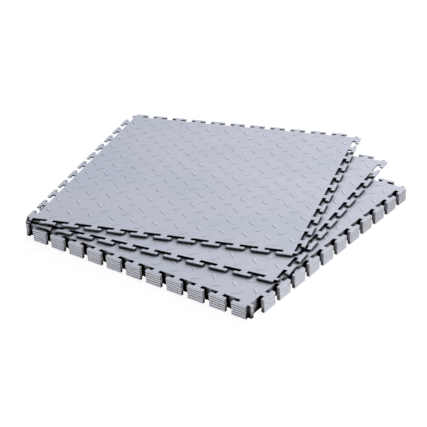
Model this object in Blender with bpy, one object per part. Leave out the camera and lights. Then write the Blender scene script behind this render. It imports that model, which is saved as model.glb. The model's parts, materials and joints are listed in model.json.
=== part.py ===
"""Interlocking anti fatigue floor tiles, as a pack of eight loose tiles.

Each tile is one moulded sheet of soft vinyl with a row of T-shaped tabs along
every side. Six tiles are squared up in a pile. The two on top are fanned
anticlockwise, seen from above, about an axis at the pile's front left corner.

Units are metres. +Z is up, -Y is the front and -X is the left. The origin is
the centre of the underside of the bottom tile, whose sides run along X and Y.
"""

import math

import bpy
from mathutils import Matrix, Vector

# Tile outline
MODULE = 0.4572          # one laid tile covers 18 in x 18 in
TAB_DEPTH = 0.0127       # strip between the bodies of two laid tiles
SLOTS = 11               # slots along one side, each followed by a tab
PITCH = 0.0402           # slot to slot
HEAD = 0.0288            # length of a tab's head, along the side
NECK = 0.0108            # length of a tab's neck, along the side
UNDERCUT = 0.00645       # body's edge to the inner face of a head
TAB_CLEARANCE = 0.0002   # how far the heads stop short of the next tile's body
END_CLEARANCE = 0.0003   # play at the end of the last tab
STUB = 0.0058            # side of the square stub on each corner

HALF_BODY = (MODULE - TAB_DEPTH) / 2   # tile's centre to the body's edge
REACH = TAB_DEPTH - TAB_CLEARANCE      # body's edge to the outer face of a head
HALF_MOUTH = (PITCH - HEAD) / 2        # half a slot's opening between two heads
HALF_BAR = (PITCH - NECK) / 2          # half a slot's width between two necks

# The first slot and the last tab, half a pitch past the last slot, are
# centred equally far from the middle of the side.
FIRST_SLOT = -(SLOTS - 0.5) * PITCH / 2

# Stack
SLAB = 0.0035            # one tile's thickness
AIR = 0.0003             # space between a tile and the one it lies on
LAYER = SLAB + AIR

# How each squared tile lies, bottom first: x, y, turn in radians
SQUARED_TILES = (
    (0.0, 0.0, 0.0),
    (0.00010, -0.00005, 0.0002),
    (-0.00005, 0.00010, -0.0002),
    (0.00010, 0.00005, 0.0001),
    (-0.00010, 0.0, -0.0002),
    (0.00005, -0.00010, 0.0001),
)

FAN_STEPS = (math.radians(9.06), math.radians(9.42))  # each from the tile below
FAN_AXIS = Vector((-0.2434, -0.2164))  # x, y of the vertical line they turn about

# Vinyl
VINYL_COLOUR = (0.52, 0.545, 0.62)     # a cool grey, linear RGB
VINYL_ROUGHNESS = 0.52                 # satin
SHADES = 3                             # shades that the tiles cycle through
SHADE_STEP = 0.008                     # how much darker each shade is

ARROW_SIZE = 0.05                      # display size of an axis empty


# ------------------------------------------------------------------- outline
def slot_outline(centre):
    """One T-shaped slot as (along, outward) points, from left to right."""
    left_half = [
        (-HALF_MOUTH, REACH),
        (-HALF_MOUTH, UNDERCUT),
        (-HALF_BAR, UNDERCUT),
        (-HALF_BAR, 0.0),
    ]
    right_half = [(-along, outward) for along, outward in reversed(left_half)]
    return [(centre + along, outward) for along, outward in left_half + right_half]


def side_outline():
    """One side as (along, outward) points, from its left end to its right end.

    The side starts with a slot and ends with a solid tab, so a side that is
    turned round fits it, and all four sides of a tile are the same.
    """
    points = [(-HALF_BODY, STUB), (-HALF_BODY, 0.0)]
    # The corner stub takes the place of the first slot's left half.
    points += slot_outline(FIRST_SLOT)[4:]
    for slot in range(1, SLOTS):
        points += slot_outline(FIRST_SLOT + slot * PITCH)
    points += [
        (HALF_BODY - END_CLEARANCE, REACH),
        (HALF_BODY - END_CLEARANCE, STUB),
        (HALF_BODY + STUB, STUB),
    ]
    return points


def tile_outline():
    """The whole tile, anticlockwise from above: front, right, back, left."""
    outline = []
    for quarter in range(4):
        turn = Matrix.Rotation(quarter * math.pi / 2, 2)
        for along, outward in side_outline():
            outline.append(turn @ Vector((along, -HALF_BODY - outward)))
    return outline


def tile_curve(name):
    """The outline as a flat filled curve, extruded to the tile's thickness."""
    curve = bpy.data.curves.new(name, "CURVE")
    curve.dimensions = "2D"
    curve.fill_mode = "BOTH"
    curve.extrude = SLAB / 2  # to each side of the curve's plane
    outline = tile_outline()
    spline = curve.splines.new("POLY")
    spline.points.add(len(outline) - 1)
    for point, (x, y) in zip(spline.points, outline):
        point.co = (x, y, 0.0, 1.0)
    spline.use_cyclic_u = True
    return curve


# ------------------------------------------------------------------ material
def vinyl(name, lightness):
    """Satin grey moulded vinyl."""
    material = bpy.data.materials.new(name)
    material.use_nodes = True
    inputs = material.node_tree.nodes["Principled BSDF"].inputs
    inputs["Base Color"].default_value = (*(c * lightness for c in VINYL_COLOUR), 1.0)
    inputs["Roughness"].default_value = VINYL_ROUGHNESS
    inputs["Metallic"].default_value = 0.0
    return material


# -------------------------------------------------------------------- pieces
def clear_scene():
    for obj in list(bpy.data.objects):
        bpy.data.objects.remove(obj, do_unlink=True)


def add_axis(name, location, parent, collection):
    """A vertical axis that a tile hangs from."""
    axis = bpy.data.objects.new(name, None)
    axis.empty_display_type = "SINGLE_ARROW"
    axis.empty_display_size = ARROW_SIZE
    axis.location = location
    axis.parent = parent
    collection.objects.link(axis)
    return axis


def add_tile(number, x, y, axis, collection):
    """A tile centred at x, y from its axis, with its underside at the axis."""
    tile = bpy.data.objects.new(f"tile_{number}", tile_curve(f"tile_{number}_outline"))
    lightness = 1.0 - SHADE_STEP * (number % SHADES)
    tile.data.materials.append(vinyl(f"vinyl_{number}", lightness))
    tile.parent = axis
    tile.location = (x, y, SLAB / 2)
    collection.objects.link(tile)
    return tile


def add_squared_pile(collection):
    """Each tile hangs from a lift axis at its own height."""
    for layer, (x, y, turn) in enumerate(SQUARED_TILES):
        number = layer + 1
        lift = add_axis(f"lift_axis_{number}", (0.0, 0.0, layer * LAYER), None, collection)
        tile = add_tile(number, x, y, lift, collection)
        tile.rotation_euler.z = turn


def add_fan(collection):
    """Each tile's axis is carried by the axis of the fanned tile below it."""
    parent = None
    location = (FAN_AXIS.x, FAN_AXIS.y, len(SQUARED_TILES) * LAYER)
    for number, step in enumerate(FAN_STEPS, start=len(SQUARED_TILES) + 1):
        fan = add_axis(f"fan_axis_{number}", location, parent, collection)
        fan.rotation_euler.z = step
        add_tile(number, -FAN_AXIS.x, -FAN_AXIS.y, fan, collection)
        parent = fan
        location = (0.0, 0.0, LAYER)


def build():
    clear_scene()
    pack = bpy.data.collections.new("anti_fatigue_tile_pack")
    bpy.context.scene.collection.children.link(pack)
    add_squared_pile(pack)
    add_fan(pack)


build()
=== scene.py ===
import json
import math

import bpy
import numpy as np
from mathutils import Matrix, Vector, geometry


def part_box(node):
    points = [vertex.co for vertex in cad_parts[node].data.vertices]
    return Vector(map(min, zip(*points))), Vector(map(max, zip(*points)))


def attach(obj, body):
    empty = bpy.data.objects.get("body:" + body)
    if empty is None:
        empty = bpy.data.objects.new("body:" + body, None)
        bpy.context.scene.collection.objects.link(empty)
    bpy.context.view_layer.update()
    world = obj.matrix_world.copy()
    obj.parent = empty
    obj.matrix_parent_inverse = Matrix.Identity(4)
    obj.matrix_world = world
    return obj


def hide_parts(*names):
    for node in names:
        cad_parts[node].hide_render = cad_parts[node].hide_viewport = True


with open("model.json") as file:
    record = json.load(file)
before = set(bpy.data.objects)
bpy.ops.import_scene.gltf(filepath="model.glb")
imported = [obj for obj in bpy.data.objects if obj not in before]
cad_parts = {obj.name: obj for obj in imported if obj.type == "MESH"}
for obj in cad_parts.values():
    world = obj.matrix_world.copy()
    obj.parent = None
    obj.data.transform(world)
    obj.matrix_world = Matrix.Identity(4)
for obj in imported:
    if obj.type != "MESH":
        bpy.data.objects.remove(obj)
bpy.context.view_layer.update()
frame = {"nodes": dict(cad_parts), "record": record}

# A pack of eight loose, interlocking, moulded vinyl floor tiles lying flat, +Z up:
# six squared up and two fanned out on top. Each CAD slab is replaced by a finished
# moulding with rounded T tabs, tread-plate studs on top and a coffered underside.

# ------------------------------------------------------------------ sizes (m)
# The plan of a tile, as in the CAD. T tabs and T slots alternate along each side.
MODULE = 0.4572
TAB_DEPTH = 0.0127
TABS = 11
TAB_PITCH = 0.0402
HEAD = 0.0288             # width of a tab's head
NECK = 0.0108             # and of its neck
UNDERCUT = 0.00645        # distance from the slot's bottom to the heads
TAB_CLEARANCE = 0.0002
END_CLEARANCE = 0.0003
STUB = 0.0058             # depth of the step at each corner of the tile
HALF = (MODULE - TAB_DEPTH) / 2
REACH = TAB_DEPTH - TAB_CLEARANCE
MOUTH = TAB_PITCH - HEAD  # width of a slot between two heads
BAR = TAB_PITCH - NECK    # and between two necks
FIRST_SLOT = -0.25 * (2 * TABS - 1) * TAB_PITCH

# The sheet and its edges
SHEET = 0.00296           # thickness of the sheet and its tabs
OUTER_CORNER = 0.0009     # plan radius of the tabs' outer corners
INNER_CORNER = 0.0005     # and of the corners inside the slots
CORNER_STEPS = 3
TOP_ROUND = 0.00045       # rounding of the top edge
TOP_STEPS = 3
BOTTOM_ROUND = 0.00035    # and of the bottom edge
BOTTOM_STEPS = 2

# The tread studs, pointed ovals at 45 degrees
STUD_HEIGHT = 0.00052
STUD_LATTICE = MODULE / 12
STUD_HALF_LENGTH = 0.0088
STUD_HALF_WIDTH = 0.0024
STUD_POINTS = 18
STUD_POINTEDNESS = 1.35   # 1 is an ellipse, more is more pointed
STUD_END_INSET = 1.5      # how far the ends draw in for each unit the flanks do
# (share of the full width, share of the full height), from foot to crown
STUD_RINGS = ((1.0, 0.0), (0.84, 0.42), (0.56, 0.87), (0.20, 1.0))

# The coffers, shallow square pockets in the underside
COFFERS = 12              # along each side
COFFER_PITCH = MODULE / COFFERS
COFFERED_SPAN = 2 * HALF - 0.004
COFFER_HALF = 0.0158
COFFER_CORNER = 0.0032
COFFER_CORNER_STEPS = 2
COFFER_DEPTH = 0.0010
# (inset in plan, height, whether it belongs to a flat), from the mouth to the bed
COFFER_RINGS = (
    (0.0, 0.0, True),
    (0.0003, COFFER_DEPTH * 0.85, False),
    (0.0008, COFFER_DEPTH, True),
)

# The pack
SQUARED_TILES = 6         # the tiles after these are fanned out


# ------------------------------------------------------------------- outline
def side_corners():
    """Corners along one side of the tile, as (distance along, distance outward)."""
    points = [
        (-HALF, STUB),
        (-HALF, 0.0),
        (FIRST_SLOT + BAR / 2, 0.0),
        (FIRST_SLOT + BAR / 2, UNDERCUT),
        (FIRST_SLOT + MOUTH / 2, UNDERCUT),
        (FIRST_SLOT + MOUTH / 2, REACH),
    ]
    for slot in range(1, TABS):
        centre = FIRST_SLOT + slot * TAB_PITCH
        points += [
            (centre - MOUTH / 2, REACH),
            (centre - MOUTH / 2, UNDERCUT),
            (centre - BAR / 2, UNDERCUT),
            (centre - BAR / 2, 0.0),
            (centre + BAR / 2, 0.0),
            (centre + BAR / 2, UNDERCUT),
            (centre + MOUTH / 2, UNDERCUT),
            (centre + MOUTH / 2, REACH),
        ]
    points += [
        (HALF - END_CLEARANCE, REACH),
        (HALF - END_CLEARANCE, STUB),
        (HALF + STUB, STUB),
    ]
    return points


def outline_corners():
    """The whole outline, anticlockwise from the -Y side."""
    corners = []
    for cos, sin in ((1, 0), (0, 1), (-1, 0), (0, -1)):
        for along, outward in side_corners():
            x, y = along, -HALF - outward
            corners.append((cos * x - sin * y, sin * x + cos * y))
    return np.array(corners)


def rounded_outline():
    """Points of the outline with its corners rounded in plan, and their outward normals."""
    corners = outline_corners()
    points, normals = [], []
    for i, corner in enumerate(corners):
        before = corner - corners[i - 1]
        after = corners[(i + 1) % len(corners)] - corner
        before /= np.linalg.norm(before)
        after /= np.linalg.norm(after)
        normal_before = np.array((before[1], -before[0]))
        normal_after = np.array((after[1], -after[0]))
        convex = before[0] * after[1] - before[1] * after[0] > 0
        radius = OUTER_CORNER if convex else INNER_CORNER
        sign = 1.0 if convex else -1.0
        centre = corner - sign * radius * (normal_before + normal_after)
        for k in range(CORNER_STEPS + 1):
            angle = math.pi / 2 * k / CORNER_STEPS
            normal = normal_before * math.cos(angle) + normal_after * math.sin(angle)
            points.append(centre + sign * radius * normal)
            normals.append(normal)
    return np.array(points), np.array(normals)


# ---------------------------------------------------------------------- mesh
class Sheet:
    """Collects the vertices and faces of one closed moulding."""

    def __init__(self):
        self.co, self.normal, self.faces = [], [], []
        self.stud, self.edge, self.recess = [], [], []

    def add(self, points, normals=None, stud=0.0, edge=0.0, recess=None):
        """Adds a ring and returns its indices. Without normals it is shaded smooth."""
        start, count = len(self.co), len(points)
        self.co += points
        self.normal += normals or [None] * count
        self.stud += [stud] * count
        self.edge += [edge] * count
        self.recess += recess or [0.0] * count
        return list(range(start, start + count))

    def strip(self, first, second):
        """Quads between two anticlockwise rings: facing up where the second lies outside
        the first in plan, and down where it lies inside."""
        count = len(first)
        for i in range(count):
            j = (i + 1) % count
            self.faces.append((first[i], second[i], second[j], first[j]))

    def fill(self, outer, holes, up=True):
        """Triangles of the flat region inside outer and outside the holes."""
        loops = [outer] + holes
        ids = [i for loop in loops for i in loop]
        coords = [Vector(self.co[i][:2]) for i in ids]
        faces, start = [], 0
        for loop in loops:
            faces.append(list(range(start, start + len(loop))))
            start += len(loop)
        keep_inside, epsilon = 1, 1e-9
        verts, _, tris, verts_from, _, tris_from = geometry.delaunay_2d_cdt(
            coords, [], faces, keep_inside, epsilon
        )
        if len(verts) != len(ids):
            raise RuntimeError("the flat fill merged or added points")
        source = [ids[origin[0]] for origin in verts_from]
        for tri, inside in zip(tris, tris_from):
            # Inside the outer loop only, so not in a hole
            if list(inside) == [0]:
                tri = [source[i] for i in tri]
                self.faces.append(tuple(tri if up else tri[::-1]))


def rim_profile():
    """(inset, z, outward and upward parts of the normal, weight of the painted highlight and
    shine on the rounded top edge), from the top down.
    """
    profile = []
    for k in range(TOP_STEPS + 1):
        angle = math.pi / 2 * (1 - k / TOP_STEPS)
        side, lift = math.cos(angle), math.sin(angle)
        z = SHEET - TOP_ROUND * (1 - lift)
        profile.append((TOP_ROUND * (1 - side), z, side, lift, math.sin(2 * angle)))
    for k in range(BOTTOM_STEPS + 1):
        angle = -math.pi / 2 * k / BOTTOM_STEPS
        side, lift = math.cos(angle), math.sin(angle)
        z = BOTTOM_ROUND * (1 + lift)
        profile.append((BOTTOM_ROUND * (1 - side), z, side, lift, 0.0))
    return profile


def add_rim(sheet):
    """The edge of the sheet. Returns its top and bottom rings."""
    plan, out = rounded_outline()
    # 0 on the tabs' ends, 1 farther in
    tab_end = HALF + REACH - OUTER_CORNER
    recess = [0.0 if max(abs(x), abs(y)) > tab_end else 1.0 for x, y in plan]
    loops = []
    for inset, z, side, lift, edge in rim_profile():
        points = [(p[0] - n[0] * inset, p[1] - n[1] * inset, z) for p, n in zip(plan, out)]
        normals = [(n[0] * side, n[1] * side, lift) for n in out]
        loops.append(sheet.add(points, normals, edge=edge, recess=recess))
    for upper, lower in zip(loops, loops[1:]):
        sheet.strip(upper, lower)
    return loops[0], loops[-1]


def stud_ring(centre_x, centre_y, slant, scale):
    """A pointed oval of the tread pattern, anticlockwise, slant +1 or -1."""
    width = STUD_HALF_WIDTH * scale
    length = STUD_HALF_LENGTH - STUD_HALF_WIDTH * STUD_END_INSET * (1 - scale)
    cos, sin = math.cos(math.pi / 4), slant * math.sin(math.pi / 4)
    ring = []
    for i in range(STUD_POINTS):
        angle = 2 * math.pi * i / STUD_POINTS
        across = math.sin(angle)
        x = length * math.cos(angle)
        y = width * math.copysign(abs(across) ** STUD_POINTEDNESS, across)
        ring.append((centre_x + cos * x - sin * y, centre_y + sin * x + cos * y))
    return ring


def stud_places():
    """(x, y, slant) of every stud; the two slants alternate over the lattice."""
    places = []
    for i in range(-5, 6):
        for j in range(-6, 6):
            on, between = i * STUD_LATTICE, (j + 0.5) * STUD_LATTICE
            places.append((on, between, 1))
            places.append((between, on, -1))
    return places


def add_studs(sheet):
    """The studs. Returns the rings of their feet."""
    feet = []
    for centre_x, centre_y, slant in stud_places():
        previous = None
        for scale, height in STUD_RINGS:
            z = SHEET + STUD_HEIGHT * height
            points = [(x, y, z) for x, y in stud_ring(centre_x, centre_y, slant, scale)]
            normals = [(0.0, 0.0, 1.0)] * len(points) if height == 0.0 else None
            ring = sheet.add(points, normals, stud=height)
            if previous is None:
                feet.append(ring)
            else:
                sheet.strip(ring, previous)
            previous = ring
        sheet.faces.append(tuple(previous))
    return feet


def coffer_ring(centre_x, centre_y, inset):
    """A square with rounded corners, anticlockwise."""
    radius = COFFER_CORNER - inset
    straight = COFFER_HALF - inset - radius
    ring = []
    for quarter, (sx, sy) in enumerate(((1, 1), (-1, 1), (-1, -1), (1, -1))):
        for k in range(COFFER_CORNER_STEPS + 1):
            angle = quarter * math.pi / 2 + math.pi / 2 * k / COFFER_CORNER_STEPS
            x = centre_x + sx * straight + radius * math.cos(angle)
            y = centre_y + sy * straight + radius * math.sin(angle)
            ring.append((x, y))
    return ring


def add_coffers(sheet):
    """The coffers. Returns the rings of their mouths."""
    # A grid over the module, drawn in to the coffered span
    centres = [
        (i - (COFFERS - 1) / 2) * COFFER_PITCH * COFFERED_SPAN / MODULE for i in range(COFFERS)
    ]
    mouths = []
    for centre_x in centres:
        for centre_y in centres:
            rings = []
            for inset, z, flat in COFFER_RINGS:
                points = [(x, y, z) for x, y in coffer_ring(centre_x, centre_y, inset)]
                normals = [(0.0, 0.0, -1.0)] * len(points) if flat else None
                rings.append(sheet.add(points, normals))
            for lower, upper in zip(rings, rings[1:]):
                sheet.strip(lower, upper)
            sheet.faces.append(tuple(rings[-1][::-1]))
            mouths.append(rings[0])
    return mouths


def tile_mesh():
    sheet = Sheet()
    top, bottom = add_rim(sheet)
    sheet.fill(top, add_studs(sheet))
    sheet.fill(bottom, add_coffers(sheet), up=False)

    mesh = bpy.data.meshes.new("vinyl_tile")
    mesh.from_pydata(sheet.co, [], sheet.faces)
    mesh.validate()
    mesh.update()
    mesh.shade_smooth()
    normals = np.empty(len(mesh.vertices) * 3, np.float32)
    mesh.vertex_normals.foreach_get("vector", normals)
    normals = normals.reshape(-1, 3)
    for i, normal in enumerate(sheet.normal):
        if normal is not None:
            normals[i] = normal
    mesh.normals_split_custom_set_from_vertices(normals.tolist())
    place = mesh.attributes.new("tile_place", "FLOAT_VECTOR", "POINT")
    place.data.foreach_set("vector", np.array(sheet.co, np.float32).ravel())
    for name, values in (
        ("tile_stud", sheet.stud),
        ("tile_edge", sheet.edge),
        ("tile_recess", sheet.recess),
    ):
        attribute = mesh.attributes.new(name, "FLOAT", "POINT")
        attribute.data.foreach_set("value", np.array(values, np.float32))
    return mesh


# --------------------------------------------------------------- node helpers
class Tree:
    """Short calls for building a node tree. Inputs may be sockets or plain values."""

    def __init__(self, owner):
        owner.use_nodes = True
        self.tree = owner.node_tree
        self.tree.nodes.clear()

    def new(self, kind, inputs=None, **settings):
        node = self.tree.nodes.new(kind)
        for key, value in settings.items():
            setattr(node, key, value)
        for key, value in (inputs or {}).items():
            if hasattr(value, "links"):
                self.tree.links.new(value, node.inputs[key])
            else:
                node.inputs[key].default_value = value
        return node

    def math(self, operation, a, b, clamp=False):
        node = self.new("ShaderNodeMath", {0: a, 1: b}, operation=operation, use_clamp=clamp)
        return node.outputs[0]

    def attribute(self, name, kind="GEOMETRY", output="Fac"):
        node = self.new("ShaderNodeAttribute", attribute_name=name, attribute_type=kind)
        return node.outputs[output]

    def noise(self, vector, scale, detail=2.0, roughness=0.5, distortion=0.0):
        inputs = {
            "Vector": vector,
            "Scale": scale,
            "Detail": detail,
            "Roughness": roughness,
            "Distortion": distortion,
        }
        return self.new("ShaderNodeTexNoise", inputs, noise_dimensions="3D").outputs["Fac"]

    def remap(self, value, span, to=(0.0, 1.0), smooth=False):
        inputs = {
            "Value": value,
            "From Min": span[0],
            "From Max": span[1],
            "To Min": to[0],
            "To Max": to[1],
        }
        kind = "SMOOTHSTEP" if smooth else "LINEAR"
        node = self.new("ShaderNodeMapRange", inputs, clamp=True, interpolation_type=kind)
        return node.outputs["Result"]

    def separate(self, vector):
        return self.new("ShaderNodeSeparateXYZ", {0: vector}).outputs

    def mix_colour(self, factor, a, b, blend="MIX"):
        inputs = {0: factor, 6: a, 7: b}
        return self.new("ShaderNodeMix", inputs, data_type="RGBA", blend_type=blend).outputs[2]

    def mix_value(self, factor, a, b):
        return self.new("ShaderNodeMix", {0: factor, 2: a, 3: b}, data_type="FLOAT").outputs[0]

    def mix_shader(self, factor, a, b):
        return self.new("ShaderNodeMixShader", {"Fac": factor, 1: a, 2: b}).outputs[0]

    def camera_split(self, for_others, for_camera):
        """One shader for the camera's own rays and another for all the rest."""
        is_camera = self.new("ShaderNodeLightPath").outputs["Is Camera Ray"]
        return self.mix_shader(is_camera, for_others, for_camera)

    def output(self, kind, shader):
        self.new(f"ShaderNodeOutput{kind}", {"Surface": shader})


# --------------------------------------------------------------------- vinyl
def vinyl_colour(tree, where, stud, edge):
    """Two close greys in broad patches, a fine mottle, and painted highlights: paler rounded top
    edges and stud tops.
    """
    patches = tree.noise(where, scale=6.0, distortion=0.4)
    broad = tree.remap(patches, span=(0.36, 0.64))
    colour = tree.mix_colour(broad, a=(0.396, 0.430, 0.517, 1), b=(0.431, 0.450, 0.530, 1))
    mottle = tree.noise(where, scale=420.0, detail=3.0, roughness=0.6)
    fine = tree.remap(mottle, span=(0.3, 0.7), to=(0.955, 1.045))
    tone = tree.math("MULTIPLY", fine, tree.attribute("shade", "OBJECT"))
    # Painted highlight: the rounded top edges are made paler, by an amount that varies along
    # them.
    edge_highlight_strength = tree.remap(tree.noise(where, scale=90.0), span=(0.3, 0.7), to=(0.05, 0.15))
    edge_highlight = tree.math("MULTIPLY", edge, edge_highlight_strength)
    tone = tree.math("MULTIPLY", tone, tree.math("ADD", edge_highlight, 1.0))
    # Painted highlight: the upper part of each stud is made paler.
    stud_highlight = tree.remap(stud, span=(0.60, 1.0), to=(1.0, 1.08), smooth=True)
    tone = tree.math("MULTIPLY", tone, stud_highlight)
    grey = tree.new("ShaderNodeCombineColor", {0: tone, 1: tone, 2: tone}).outputs[0]
    return tree.mix_colour(1.0, colour, grey, blend="MULTIPLY")


def vinyl_roughness(tree, where, stud, edge):
    """Satin, a little shinier on the studs and the rounded edges."""
    patches = tree.noise(where, scale=55.0, detail=3.0, roughness=0.6)
    rough = tree.remap(patches, span=(0.3, 0.7), to=(0.57, 0.67))
    shinier = 0.06
    for part in (stud, edge):
        rough = tree.math("SUBTRACT", rough, tree.math("MULTIPLY", part, shinier))
    return rough


def vinyl_grain(tree, where, stud):
    """A fine moulded grain, smoothed off on the studs, over a low waviness."""
    pebble = tree.new(
        "ShaderNodeTexVoronoi",
        {"Vector": where, "Scale": 620.0, "Smoothness": 0.6},
        voronoi_dimensions="3D",
        feature="SMOOTH_F1",
    ).outputs["Distance"]
    pebble_share, noise_share = 0.6, 0.4
    grain = tree.math(
        "ADD",
        tree.math("MULTIPLY", pebble, pebble_share),
        tree.math("MULTIPLY", tree.noise(where, scale=1100.0), noise_share),
    )
    fine = tree.new("ShaderNodeBump", {
        "Strength": tree.remap(stud, span=(0.0, 1.0), to=(0.35, 0.12)),
        "Distance": 0.00010,
        "Height": grain,
    })
    low = tree.new("ShaderNodeBump", {
        "Strength": 0.5,
        "Distance": 0.00025,
        "Height": tree.noise(where, scale=38.0),
        "Normal": fine.outputs[0],
    })
    return low.outputs[0]


def open_sky(tree, distance):
    inputs = {"Distance": distance}
    return tree.new("ShaderNodeAmbientOcclusion", inputs, samples=10).outputs["AO"]


def vinyl_shadow(tree, normal, place, stud):
    """1 in deep, narrow places and 0 where the surface stays lit."""
    facing = tree.separate(normal)
    upward = tree.remap(facing["Z"], span=(0.3, 0.9), smooth=True)
    covered = tree.math("MAXIMUM", upward, tree.attribute("tile_recess"))
    outer = tree.math("SUBTRACT", 1.0, covered)
    wide_sky = open_sky(tree, distance=0.012)
    near_sky = open_sky(tree, distance=0.008)

    # Upward faces and the walls of recesses, which go dark steeply. The studs in the
    # open and the tabs on a tile's +X and +Y sides stay lit.
    bed_power, wall_power = 2.5, 2.0
    bed = tree.math("POWER", tree.remap(wide_sky, span=(0.52, 0.94)), bed_power)
    wall = tree.math("POWER", tree.remap(wide_sky, span=(0.58, 0.98)), wall_power)
    inner_lit = tree.mix_value(upward, wall, bed)
    plan = tree.separate(place)
    outward = tree.math("MAXIMUM", plan["X"], plan["Y"])
    on_tab = tree.remap(outward, span=(HALF + 0.0058, HALF + 0.0064))
    tab = tree.math("MULTIPLY", upward, on_tab)
    on_stud = tree.remap(stud, span=(0.0, 0.35))
    raised = tree.math("MULTIPLY", on_stud, tree.remap(wide_sky, span=(0.80, 0.92)))
    inner_lit = tree.math("MAXIMUM", inner_lit, tree.math("MAXIMUM", tab, raised))

    # The tabs' end faces. Those of the squared pile stay lit, and those towards the
    # side lamp, at +X, mostly do.
    outer_lit = tree.remap(near_sky, span=(0.52, 0.86))
    sideways = tree.remap(facing["X"], span=(0.35, 0.90), to=(0.0, 0.75), smooth=True)
    kept = tree.math("MAXIMUM", sideways, tree.attribute("squared", "OBJECT"))
    outer_lit = tree.math("MAXIMUM", outer_lit, kept)

    lit = tree.mix_value(outer, inner_lit, outer_lit)
    return tree.math("SUBTRACT", 1.0, lit, clamp=True)


def vinyl_material():
    material = bpy.data.materials.new("moulded_vinyl")
    tree = Tree(material)
    place = tree.attribute("tile_place", output="Vector")
    seed = tree.attribute("seed", "OBJECT")
    stud = tree.attribute("tile_stud")
    edge = tree.attribute("tile_edge")
    # Each tile samples the textures at its own offset: this direction times its seed
    where = tree.new(
        "ShaderNodeVectorMath",
        {0: (1.7, 2.9, 4.1), 1: seed, 2: place},
        operation="MULTIPLY_ADD",
    ).outputs[0]
    colour = vinyl_colour(tree, where, stud, edge)
    shader = tree.new("ShaderNodeBsdfPrincipled", {
        "Base Color": colour,
        "Roughness": vinyl_roughness(tree, where, stud, edge),
        "Normal": vinyl_grain(tree, where, stud),
        "IOR": 1.45,
        "Specular IOR Level": 0.13,
    })

    # Deep, narrow places go nearly black: there the surface is mixed with one that
    # faces away from all light. The colour is the same, so only the shading changes.
    normal = tree.new("ShaderNodeNewGeometry").outputs["Normal"]
    shadow = vinyl_shadow(tree, normal, place, stud)
    inward = tree.new("ShaderNodeVectorMath", {0: normal, "Scale": -1.0}, operation="SCALE")
    unlit = tree.new("ShaderNodeBsdfDiffuse", {"Color": colour, "Normal": inward.outputs[0]})
    tree.output("Material", tree.mix_shader(shadow, shader.outputs[0], unlit.outputs[0]))
    return material


# --------------------------------------------------------------------- tiles
def plan_of(points):
    """(centre, turn of the fourth harmonic) of a plan with four-fold symmetry."""
    centre = points.mean(axis=0)
    spokes = (points[:, 0] - centre[0]) + 1j * (points[:, 1] - centre[1])
    return centre, np.angle((spokes**4).sum())


def placement(node):
    """Where a CAD slab lies, as a matrix for the finished tile."""
    co = np.array([vertex.co[:] for vertex in frame["nodes"][node].data.vertices])
    centre, slab_phase = plan_of(np.unique(np.round(co[:, :2], 6), axis=0))
    _, own_phase = plan_of(outline_corners())
    turn = (slab_phase - own_phase) / 4
    # The nearest of the four equivalent turns
    turn = (turn + math.pi / 4) % (math.pi / 2) - math.pi / 4
    low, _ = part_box(node)
    return Matrix.Translation((centre[0], centre[1], low.z)) @ Matrix.Rotation(turn, 4, "Z")


def tiles():
    moulding = tile_mesh()
    moulding.materials.append(vinyl_material())
    for index, (body, nodes) in enumerate(sorted(frame["record"]["behaviour"]["bodies"].items())):
        node = nodes[0]
        mesh = moulding.copy()
        mesh.transform(placement(node))
        tile = bpy.data.objects.new(f"{node}_moulding", mesh)
        bpy.context.scene.collection.objects.link(tile)
        # Read by the material: texture offset, place in the pack and slight tone change
        tile["seed"] = 0.37 * (index + 1)
        tile["squared"] = 1.0 if index < SQUARED_TILES else 0.0
        tile["shade"] = 1.0 + 0.012 * math.sin(2.4 * index + 0.6)
        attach(tile, body)
        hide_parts(node)
    bpy.data.meshes.remove(moulding)


# --------------------------------------------------------------------- stage
def sweep(tree, whiteness, glow, tint):
    """A matt, glowing white."""
    tone = tree.new("ShaderNodeVectorMath", {0: tint, "Scale": whiteness}, operation="SCALE")
    return tree.new("ShaderNodeBsdfPrincipled", {
        "Base Color": tone.outputs[0],
        "Roughness": 1.0,
        "Specular IOR Level": 0.0,
        "Emission Color": (*tint, 1),
        "Emission Strength": glow,
    }).outputs[0]


def floor_material():
    """A lit white sweep. The tiles' sides see it brighter than the camera does, as
    under a row of studio lamps, and the camera sees only a trace of the shadow."""
    material = bpy.data.materials.new("pale_floor")
    tree = Tree(material)
    place = tree.new("ShaderNodeNewGeometry").outputs["Position"]
    reach = tree.new("ShaderNodeVectorMath", {0: place}, operation="LENGTH").outputs["Value"]
    plan = tree.separate(place)
    # The glow fades away from the pack, and towards +Y and +X
    near = tree.math(
        "MULTIPLY",
        tree.remap(reach, span=(0.40, 0.80), to=(1.0, 0.12), smooth=True),
        tree.remap(plan["Y"], span=(-0.20, 0.35), to=(1.0, 0.50), smooth=True),
    )
    fade_x = tree.remap(plan["X"], span=(0.12, 0.40), to=(1.0, 0.80), smooth=True)
    near = tree.math("MULTIPLY", near, fade_x)
    full_whiteness, full_glow = 0.88, 1.78
    for_tiles = sweep(
        tree,
        whiteness=tree.math("MULTIPLY", near, full_whiteness),
        glow=tree.math("MULTIPLY", near, full_glow),
        tint=(1.0, 0.96, 0.89),
    )
    for_camera = sweep(tree, whiteness=0.10, glow=0.93, tint=(1.0, 1.0, 1.0))
    tree.output("Material", tree.camera_split(for_tiles, for_camera))
    return material


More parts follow.
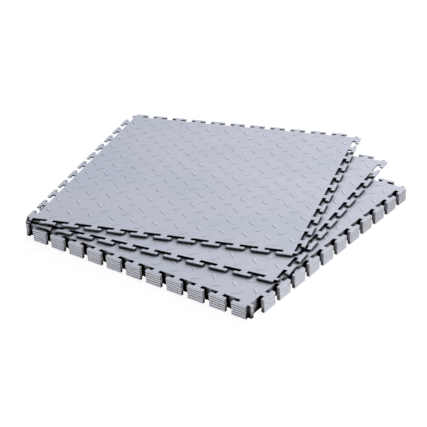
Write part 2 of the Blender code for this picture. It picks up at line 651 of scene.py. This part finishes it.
def stage():
    bpy.ops.mesh.primitive_plane_add(size=40.0, location=(0, 0, -0.0002))
    floor = bpy.context.object
    floor.name = "floor"
    floor.data.materials.append(floor_material())


# --------------------------------------------------------- lights and camera
def studio_world():
    world = bpy.data.worlds.new("studio")
    bpy.context.scene.world = world
    tree = Tree(world)
    fill = tree.new("ShaderNodeBackground", {"Color": (0.97, 0.98, 1.0, 1), "Strength": 0.10})
    # Beyond the floor the camera sees plain white
    backdrop = tree.new("ShaderNodeBackground", {"Color": (1, 1, 1, 1)})
    tree.output("World", tree.camera_split(fill.outputs[0], backdrop.outputs[0]))


def area_light(name, location, size, power, colour):
    """A rectangular lamp aimed at the origin."""
    light = bpy.data.lights.new(name, "AREA")
    light.shape = "RECTANGLE"
    light.size, light.size_y = size
    light.energy = power
    light.color = colour
    lamp = bpy.data.objects.new(name, light)
    bpy.context.scene.collection.objects.link(lamp)
    lamp.location = location
    lamp.rotation_euler = (-Vector(location)).to_track_quat("-Z", "Y").to_euler()


def lights():
    cool, warm = (0.97, 0.98, 1.0), (1.0, 0.93, 0.83)
    area_light("key", location=(-2.0, 21.9, 9.2), size=(25.0, 11.5), power=8600, colour=cool)
    area_light("top", location=(-3.8, 4.0, 5.2), size=(4.0, 2.8), power=205, colour=cool)
    area_light("side", location=(1.25, 0.15, 1.6), size=(1.0, 0.7), power=18, colour=warm)


def camera():
    data = bpy.data.cameras.new("camera")
    data.sensor_width = 36.0
    data.sensor_fit = "HORIZONTAL"
    data.lens = 90.936
    data.clip_start, data.clip_end = 0.05, 100.0
    view_camera = bpy.data.objects.new("camera", data)
    bpy.context.scene.collection.objects.link(view_camera)
    right = Vector((0.798228, 0.601078, -0.039201)).normalized()
    forward = Vector((-0.547549, 0.696940, -0.463103)).normalized()
    up = right.cross(forward).normalized()
    right = forward.cross(up)
    rotation = Matrix((right, up, -forward)).transposed().to_4x4()
    view_camera.matrix_world = Matrix.Translation((0.99048, -1.27574, 0.84944)) @ rotation
    bpy.context.scene.camera = view_camera


tiles()
stage()
studio_world()
lights()
camera()
view = bpy.context.scene.view_settings
view.view_transform = "Standard"
view.look = "None"
